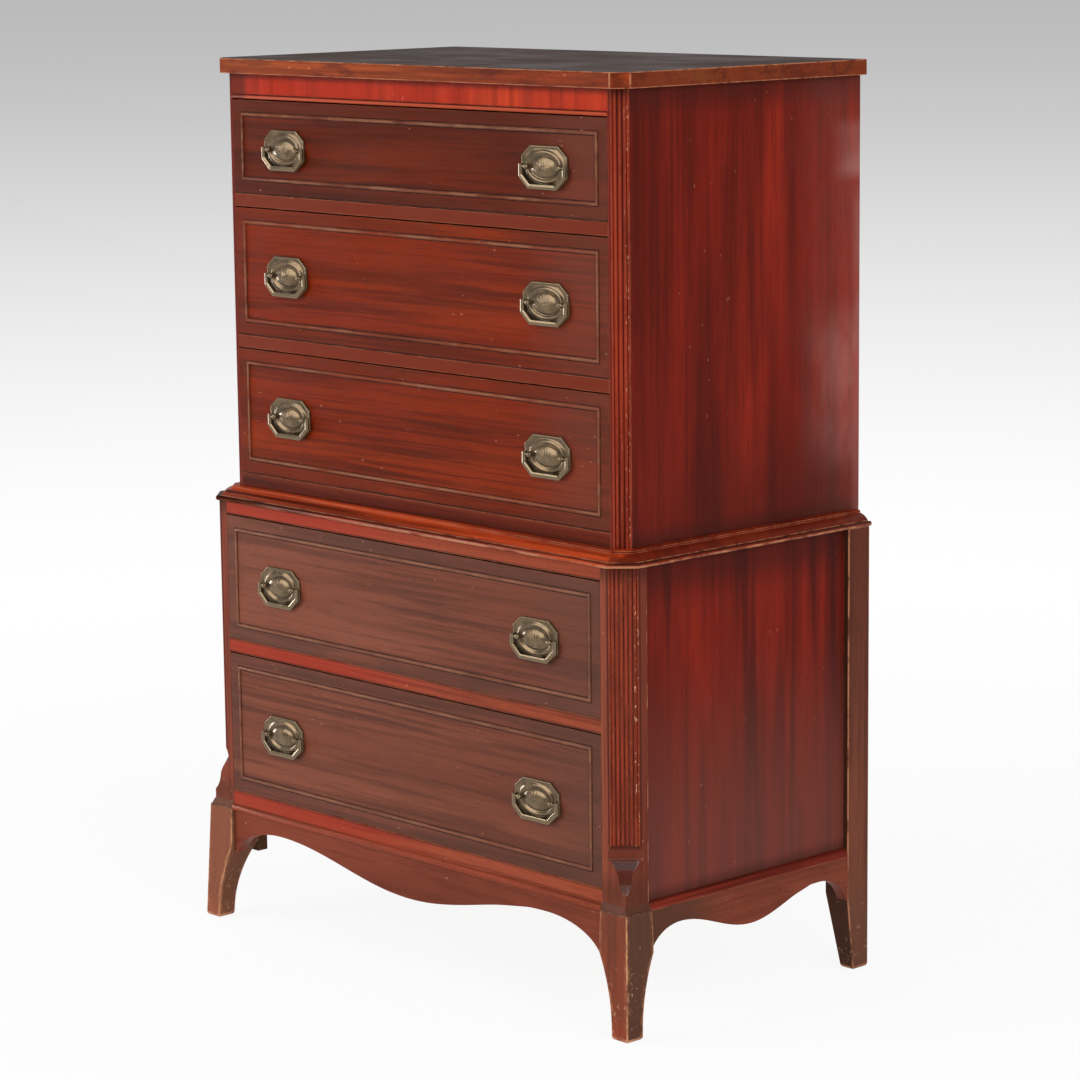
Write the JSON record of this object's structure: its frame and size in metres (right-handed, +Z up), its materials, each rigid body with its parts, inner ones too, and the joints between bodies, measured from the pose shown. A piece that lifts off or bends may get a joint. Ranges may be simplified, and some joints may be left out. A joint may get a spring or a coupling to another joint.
{
  "type": "chest on chest",
  "caption": "Tall chest on chest with canted reeded corners, stacked sliding drawers, hinged octagonal bail pulls, waist moulding, shaped apron and splayed front feet.",
  "frame": {"origin": "on the floor under the middle of the bounding box", "axes": "+Z up; the drawer fronts look along -Y; +X is to the right of someone who faces the fronts"},
  "size_m": [0.93, 0.5184, 1.32],
  "materials": {
    "drawer_veneer": "worn satin lacquer, red-brown ribbon mahogany with the figure running across",
    "side_veneer": "satin lacquer, deep red mahogany with upright ribbon figure",
    "rail_wood": "satin lacquer, red mahogany",
    "post_wood": "satin lacquer, red mahogany",
    "moulding_wood": "satin lacquer rubbed light along the arrises",
    "apron_wood": "satin lacquer, brown mahogany",
    "foot_wood": "worn lacquer, brown, rubbed light along the arrises",
    "top_wood": "dull dark brown lacquer",
    "inner_wood": "bare secondary wood",
    "antique_brass": "dark patinated brass, bright where it is rubbed"
  },
  "bodies": {
    "root": {"top_board": "top_wood", "upper_side_panels": "side_veneer", "upper_corner_post_left": "post_wood", "upper_corner_post_right": "post_wood", "frieze_rail": "rail_wood", "upper_drawer_rails": "rail_wood", "upper_bottom_panel": "inner_wood", "upper_back_panel": "inner_wood", "waist_moulding": "moulding_wood", "lower_corner_post_left": "post_wood", "lower_corner_post_right": "post_wood", "lower_back_post_left": "post_wood", "lower_back_post_right": "post_wood", "lower_side_panels": "side_veneer", "side_panel_beads": "moulding_wood", "lower_drawer_rails": "rail_wood", "lower_back_panel": "inner_wood", "drawer_runners": "inner_wood", "dust_panels": "inner_wood", "base_ledge": "moulding_wood", "front_apron": "apron_wood", "side_aprons": "apron_wood", "front_foot_left": "foot_wood", "front_foot_right": "foot_wood", "corner_blocks": "inner_wood"},
    "drawer_1": {"drawer_1_front": "drawer_veneer", "drawer_1_box": "inner_wood", "drawer_1_bottom": "inner_wood", "drawer_1_plates": "antique_brass", "drawer_1_posts": "antique_brass"},
    "drawer_1_bail_left": {"drawer_1_bail_left": "antique_brass"},
    "drawer_1_bail_right": {"drawer_1_bail_right": "antique_brass"},
    "drawer_2": {"drawer_2_front": "drawer_veneer", "drawer_2_box": "inner_wood", "drawer_2_bottom": "inner_wood", "drawer_2_plates": "antique_brass", "drawer_2_posts": "antique_brass"},
    "drawer_2_bail_left": {"drawer_2_bail_left": "antique_brass"},
    "drawer_2_bail_right": {"drawer_2_bail_right": "antique_brass"},
    "drawer_3": {"drawer_3_front": "drawer_veneer", "drawer_3_box": "inner_wood", "drawer_3_bottom": "inner_wood", "drawer_3_plates": "antique_brass", "drawer_3_posts": "antique_brass"},
    "drawer_3_bail_left": {"drawer_3_bail_left": "antique_brass"},
    "drawer_3_bail_right": {"drawer_3_bail_right": "antique_brass"},
    "drawer_4": {"drawer_4_front": "drawer_veneer", "drawer_4_box": "inner_wood", "drawer_4_bottom": "inner_wood", "drawer_4_plates": "antique_brass", "drawer_4_posts": "antique_brass"},
    "drawer_4_bail_left": {"drawer_4_bail_left": "antique_brass"},
    "drawer_4_bail_right": {"drawer_4_bail_right": "antique_brass"},
    "drawer_5": {"drawer_5_front": "drawer_veneer", "drawer_5_box": "inner_wood", "drawer_5_bottom": "inner_wood", "drawer_5_plates": "antique_brass", "drawer_5_posts": "antique_brass"},
    "drawer_5_bail_left": {"drawer_5_bail_left": "antique_brass"},
    "drawer_5_bail_right": {"drawer_5_bail_right": "antique_brass"}
  },
  "joints": [
    {"name": "drawer_1_slide", "type": "slide", "parent": "root", "child": "drawer_1", "axis": [0, -1, 0], "range_m": [0, 0.33]},
    {"name": "drawer_1_bail_left_hinge", "type": "hinge", "parent": "drawer_1", "child": "drawer_1_bail_left", "pos_m": [-0.2781, -0.22625, 1.1885], "axis": [-1, 0, 0], "range_deg": [0, 100]},
    {"name": "drawer_1_bail_right_hinge", "type": "hinge", "parent": "drawer_1", "child": "drawer_1_bail_right", "pos_m": [0.2781, -0.22625, 1.1885], "axis": [-1, 0, 0], "range_deg": [0, 100]},
    {"name": "drawer_2_slide", "type": "slide", "parent": "root", "child": "drawer_2", "axis": [0, -1, 0], "range_m": [0, 0.33]},
    {"name": "drawer_2_bail_left_hinge", "type": "hinge", "parent": "drawer_2", "child": "drawer_2_bail_left", "pos_m": [-0.2781, -0.22625, 1.0025], "axis": [-1, 0, 0], "range_deg": [0, 100]},
    {"name": "drawer_2_bail_right_hinge", "type": "hinge", "parent": "drawer_2", "child": "drawer_2_bail_right", "pos_m": [0.2781, -0.22625, 1.0025], "axis": [-1, 0, 0], "range_deg": [0, 100]},
    {"name": "drawer_3_slide", "type": "slide", "parent": "root", "child": "drawer_3", "axis": [0, -1, 0], "range_m": [0, 0.33]},
    {"name": "drawer_3_bail_left_hinge", "type": "hinge", "parent": "drawer_3", "child": "drawer_3_bail_left", "pos_m": [-0.2781, -0.22625, 0.7915], "axis": [-1, 0, 0], "range_deg": [0, 100]},
    {"name": "drawer_3_bail_right_hinge", "type": "hinge", "parent": "drawer_3", "child": "drawer_3_bail_right", "pos_m": [0.2781, -0.22625, 0.7915], "axis": [-1, 0, 0], "range_deg": [0, 100]},
    {"name": "drawer_4_slide", "type": "slide", "parent": "root", "child": "drawer_4", "axis": [0, -1, 0], "range_m": [0, 0.33]},
    {"name": "drawer_4_bail_left_hinge", "type": "hinge", "parent": "drawer_4", "child": "drawer_4_bail_left", "pos_m": [-0.2781, -0.25325, 0.539], "axis": [-1, 0, 0], "range_deg": [0, 100]},
    {"name": "drawer_4_bail_right_hinge", "type": "hinge", "parent": "drawer_4", "child": "drawer_4_bail_right", "pos_m": [0.2781, -0.25325, 0.539], "axis": [-1, 0, 0], "range_deg": [0, 100]},
    {"name": "drawer_5_slide", "type": "slide", "parent": "root", "child": "drawer_5", "axis": [0, -1, 0], "range_m": [0, 0.33]},
    {"name": "drawer_5_bail_left_hinge", "type": "hinge", "parent": "drawer_5", "child": "drawer_5_bail_left", "pos_m": [-0.2781, -0.25325, 0.3105], "axis": [-1, 0, 0], "range_deg": [0, 100]},
    {"name": "drawer_5_bail_right_hinge", "type": "hinge", "parent": "drawer_5", "child": "drawer_5_bail_right", "pos_m": [0.2781, -0.25325, 0.3105], "axis": [-1, 0, 0], "range_deg": [0, 100]}
  ]
}
